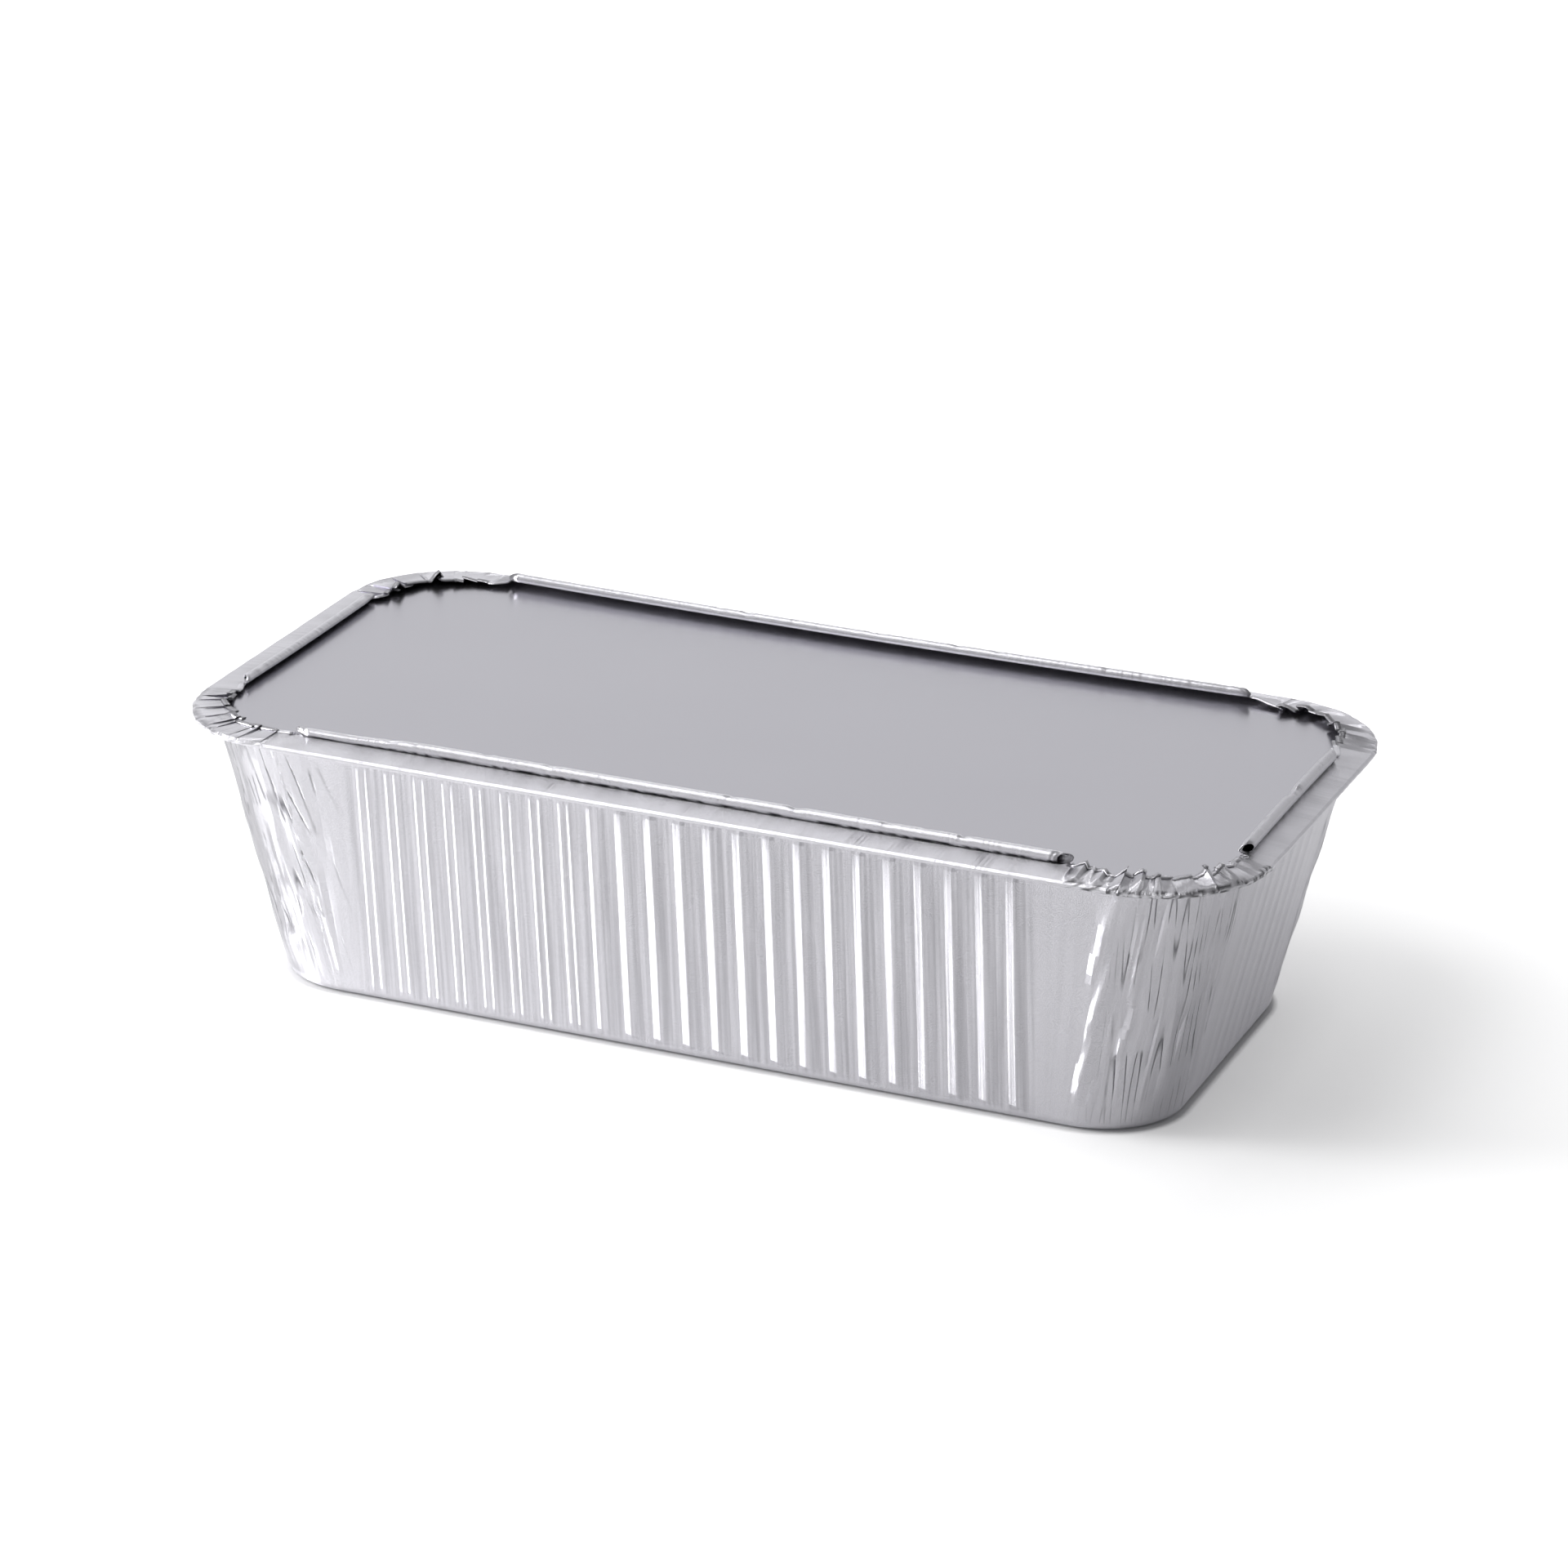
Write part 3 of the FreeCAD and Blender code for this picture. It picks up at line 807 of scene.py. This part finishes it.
def floor_material():
    """White paper sweep: matt, with its shadow kept, and lifted to white by painted light, a glow where it is
    seen or mirrored.
    """
    material, tree = new_material("white paper sweep")
    path = add_node(tree, "ShaderNodeLightPath").outputs
    place = add_node(tree, "ShaderNodeTexCoord").outputs["Object"]
    axes = add_node(tree, "ShaderNodeSeparateXYZ", {0: place}).outputs
    # how far a spot is from the tray's rounded foot
    spot = add_node(tree, "ShaderNodeVectorMath", {0: place}, operation="ABSOLUTE")
    corner = ((FOOT_HALF_LENGTH - FOOT_RADIUS) * MM, (FOOT_HALF_WIDTH - FOOT_RADIUS) * MM, 0.0)
    spot = add_node(tree, "ShaderNodeVectorMath", {0: spot.outputs[0], 1: corner}, operation="SUBTRACT")
    spot = add_node(tree, "ShaderNodeVectorMath", {
        0: spot.outputs[0], 1: (0.0, 0.0, 0.0)}, operation="MAXIMUM")
    away = add_node(tree, "ShaderNodeVectorMath", {0: spot.outputs[0]}, operation="LENGTH").outputs["Value"]
    away = add_node(tree, "ShaderNodeMath", {0: away, 1: FOOT_RADIUS * MM}, operation="SUBTRACT").outputs[0]
    far = add_node(tree, "ShaderNodeMapRange", {
        "Value": away, "From Min": 0.0, "From Max": 0.155}, interpolation_type="SMOOTHSTEP")

    # seen directly, the paper glows with painted light, more away from the tray and behind it
    direct = add_node(tree, "ShaderNodeMapRange", {"Value": far.outputs[0], "To Min": 0.30, "To Max": 0.72})
    behind = add_node(tree, "ShaderNodeMapRange", {
        "Value": axes["Y"], "From Min": -0.01, "From Max": 0.07, "To Min": 0.0, "To Max": 0.12})
    direct = add_node(tree, "ShaderNodeMath", {0: direct.outputs[0], 1: behind.outputs[0]}, operation="ADD")
    # and painted light fills the shade in front of the long wall, whose overhang keeps the light off, as far
    # as its right end
    ahead = add_node(tree, "ShaderNodeMapRange", {
        "Value": axes["Y"], "From Min": -0.038, "From Max": -0.041, "To Min": 0.0, "To Max": 0.22})
    beyond = add_node(tree, "ShaderNodeMapRange", {
        "Value": axes["X"], "From Min": 0.03, "From Max": 0.10, "To Min": 1.0, "To Max": 0.0})
    ahead = add_node(tree, "ShaderNodeMath", {
        0: ahead.outputs[0], 1: beyond.outputs[0]}, operation="MULTIPLY")
    direct = add_node(tree, "ShaderNodeMath", {0: direct.outputs[0], 1: ahead.outputs[0]}, operation="ADD")
    direct = add_node(tree, "ShaderNodeMath", {
        0: path["Is Camera Ray"], 1: direct.outputs[0]}, operation="MULTIPLY")

    # in the mirror of the walls the paper glows with painted light, brighter at the left, but not beside the
    # left wall
    near = add_node(tree, "ShaderNodeMapRange", {
        "Value": axes["X"], "From Min": -0.09, "From Max": 0.11, "To Min": 0.42, "To Max": 0.0})
    beside = add_node(tree, "ShaderNodeMapRange", {
        "Value": axes["X"], "From Min": -0.14, "From Max": -0.10, "To Min": 0.10, "To Max": 0.42})
    near = add_node(tree, "ShaderNodeMath", {0: near.outputs[0], 1: beside.outputs[0]}, operation="MINIMUM")
    distant = add_node(tree, "ShaderNodeMapRange", {
        "Value": axes["X"], "From Min": 0.05, "From Max": 0.15, "To Min": 0.45, "To Max": 0.26})
    mirrored = add_node(tree, "ShaderNodeMapRange", {
        "Value": far.outputs[0], "To Min": near.outputs[0], "To Max": distant.outputs[0]})
    # the foot of the walls mirrors the paper close by, which their overhang leaves dark, so painted light
    # fills it there
    foot_glow_level = add_node(tree, "ShaderNodeMath", {0: near.outputs[0], 1: 0.7}, operation="MULTIPLY")
    foot_glow = add_node(tree, "ShaderNodeMapRange", {
        "Value": away, "From Min": 0.001, "From Max": 0.018, "To Min": foot_glow_level.outputs[0], "To Max": 0.0})
    mirrored = add_node(tree, "ShaderNodeMath", {
        0: mirrored.outputs[0], 1: foot_glow.outputs[0]}, operation="ADD")
    in_mirror = add_node(tree, "ShaderNodeMath", {
        0: path["Is Glossy Ray"], 1: path["Is Transmission Ray"]}, operation="MAXIMUM")
    mirrored = add_node(tree, "ShaderNodeMath", {
        0: in_mirror.outputs[0], 1: mirrored.outputs[0]}, operation="MULTIPLY")

    # the dark line where the tray touches the paper stays
    clear = add_node(tree, "ShaderNodeMapRange", {"Value": away, "From Min": 0.0, "From Max": 0.0012})
    lift = add_node(tree, "ShaderNodeMath", {0: direct.outputs[0], 1: mirrored.outputs[0]}, operation="ADD")
    lift = add_node(tree, "ShaderNodeMath", {0: lift.outputs[0], 1: clear.outputs[0]}, operation="MULTIPLY")
    matt = add_node(tree, "ShaderNodeBsdfDiffuse", {"Color": colour("#EEEEEE")})
    glow = add_node(tree, "ShaderNodeEmission", {"Color": colour("#FFFFFF"), "Strength": lift.outputs[0]})
    both = add_node(tree, "ShaderNodeAddShader", {0: matt.outputs[0], 1: glow.outputs[0]})
    add_node(tree, "ShaderNodeOutputMaterial", {"Surface": both.outputs[0]})
    return material


# Studio

def make_floor():
    """A sheet of paper, 8 m square, that the tray stands on."""
    bm = bmesh.new()
    bmesh.ops.create_grid(bm, x_segments=1, y_segments=1, size=4000)
    floor = finish_mesh(bm, "floor", floor_material())


def make_world():
    """Soft studio surroundings: paler behind the object, greyer in front of it, to its right and high up."""
    world = bpy.data.worlds.new("studio")
    world.use_nodes = True
    tree = world.node_tree
    tree.nodes.clear()
    way = add_node(tree, "ShaderNodeTexCoord").outputs["Generated"]
    axes = add_node(tree, "ShaderNodeSeparateXYZ", {0: way}).outputs
    back = add_node(tree, "ShaderNodeMapRange", {
        "Value": axes["Y"], "From Min": -1.0, "From Max": 1.0, "To Min": 0.34, "To Max": 0.95})
    right = add_node(tree, "ShaderNodeMapRange", {
        "Value": axes["X"], "From Min": -0.6, "From Max": 1.0, "To Min": 1.05, "To Max": 0.30})
    above = add_node(tree, "ShaderNodeMapRange", {
        "Value": axes["Z"], "From Min": 0.40, "From Max": 0.62, "To Min": 1.0, "To Max": 0.62})
    level = add_node(tree, "ShaderNodeMath", {0: back.outputs[0], 1: right.outputs[0]}, operation="MULTIPLY")
    level = add_node(tree, "ShaderNodeMath", {0: level.outputs[0], 1: above.outputs[0]}, operation="MULTIPLY")
    sky = add_node(tree, "ShaderNodeBackground", {"Color": colour("#FAFAFC"), "Strength": level.outputs[0]})
    add_node(tree, "ShaderNodeOutputWorld", {"Surface": sky.outputs[0]})
    bpy.context.scene.world = world


def add_softbox(name, place, size, watts):
    """A rectangular lamp that faces the object."""
    lamp = bpy.data.lights.new(name, "AREA")
    lamp.shape = "RECTANGLE"
    lamp.size, lamp.size_y = size
    lamp.energy = watts
    box = bpy.data.objects.new(name, lamp)
    box.location = place
    box.rotation_mode = "QUATERNION"
    box.rotation_quaternion = Vector(place).to_track_quat("Z", "Y")
    bpy.context.scene.collection.objects.link(box)


def make_camera():
    """The photograph's viewpoint, in metres."""
    azimuth, elevation, roll = (math.radians(a) for a in (21.48, 20.85, 1.55))
    distance = 1.0477
    aim_up = 0.03544
    aim_right = 0.00019
    back = Vector((math.sin(azimuth) * math.cos(elevation), -math.cos(azimuth) * math.cos(elevation),
                   math.sin(elevation)))
    level = Vector((math.cos(azimuth), math.sin(azimuth), 0))
    upright = back.cross(level)
    right = level * math.cos(roll) + upright * math.sin(roll)
    up = upright * math.cos(roll) - level * math.sin(roll)
    camera = bpy.data.objects.new("camera", bpy.data.cameras.new("camera"))
    camera.data.lens = 133.26
    camera.data.sensor_width = 36.0
    turned = Matrix((right, up, back)).transposed().to_4x4()
    place = level * aim_right + upright * aim_up + back * distance
    camera.matrix_world = Matrix.Translation(place) @ turned
    bpy.context.scene.collection.objects.link(camera)
    bpy.context.scene.camera = camera


make_camera()
make_world()
make_floor()
add_softbox("left softbox", (-0.63, -0.28, 0.27), (0.22, 0.46), 3.8)
add_softbox("overhead softbox", (-0.32, -0.30, 0.90), (0.55, 0.45), 2.6)
add_softbox("top softbox", (0.22, -0.05, 0.92), (0.30, 0.20), 0.6)
make_tray()
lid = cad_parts["board_lid"]
lid.data.materials.clear()
lid.data.materials.append(laminate_material())
bpy.context.scene.view_settings.view_transform = "Standard"
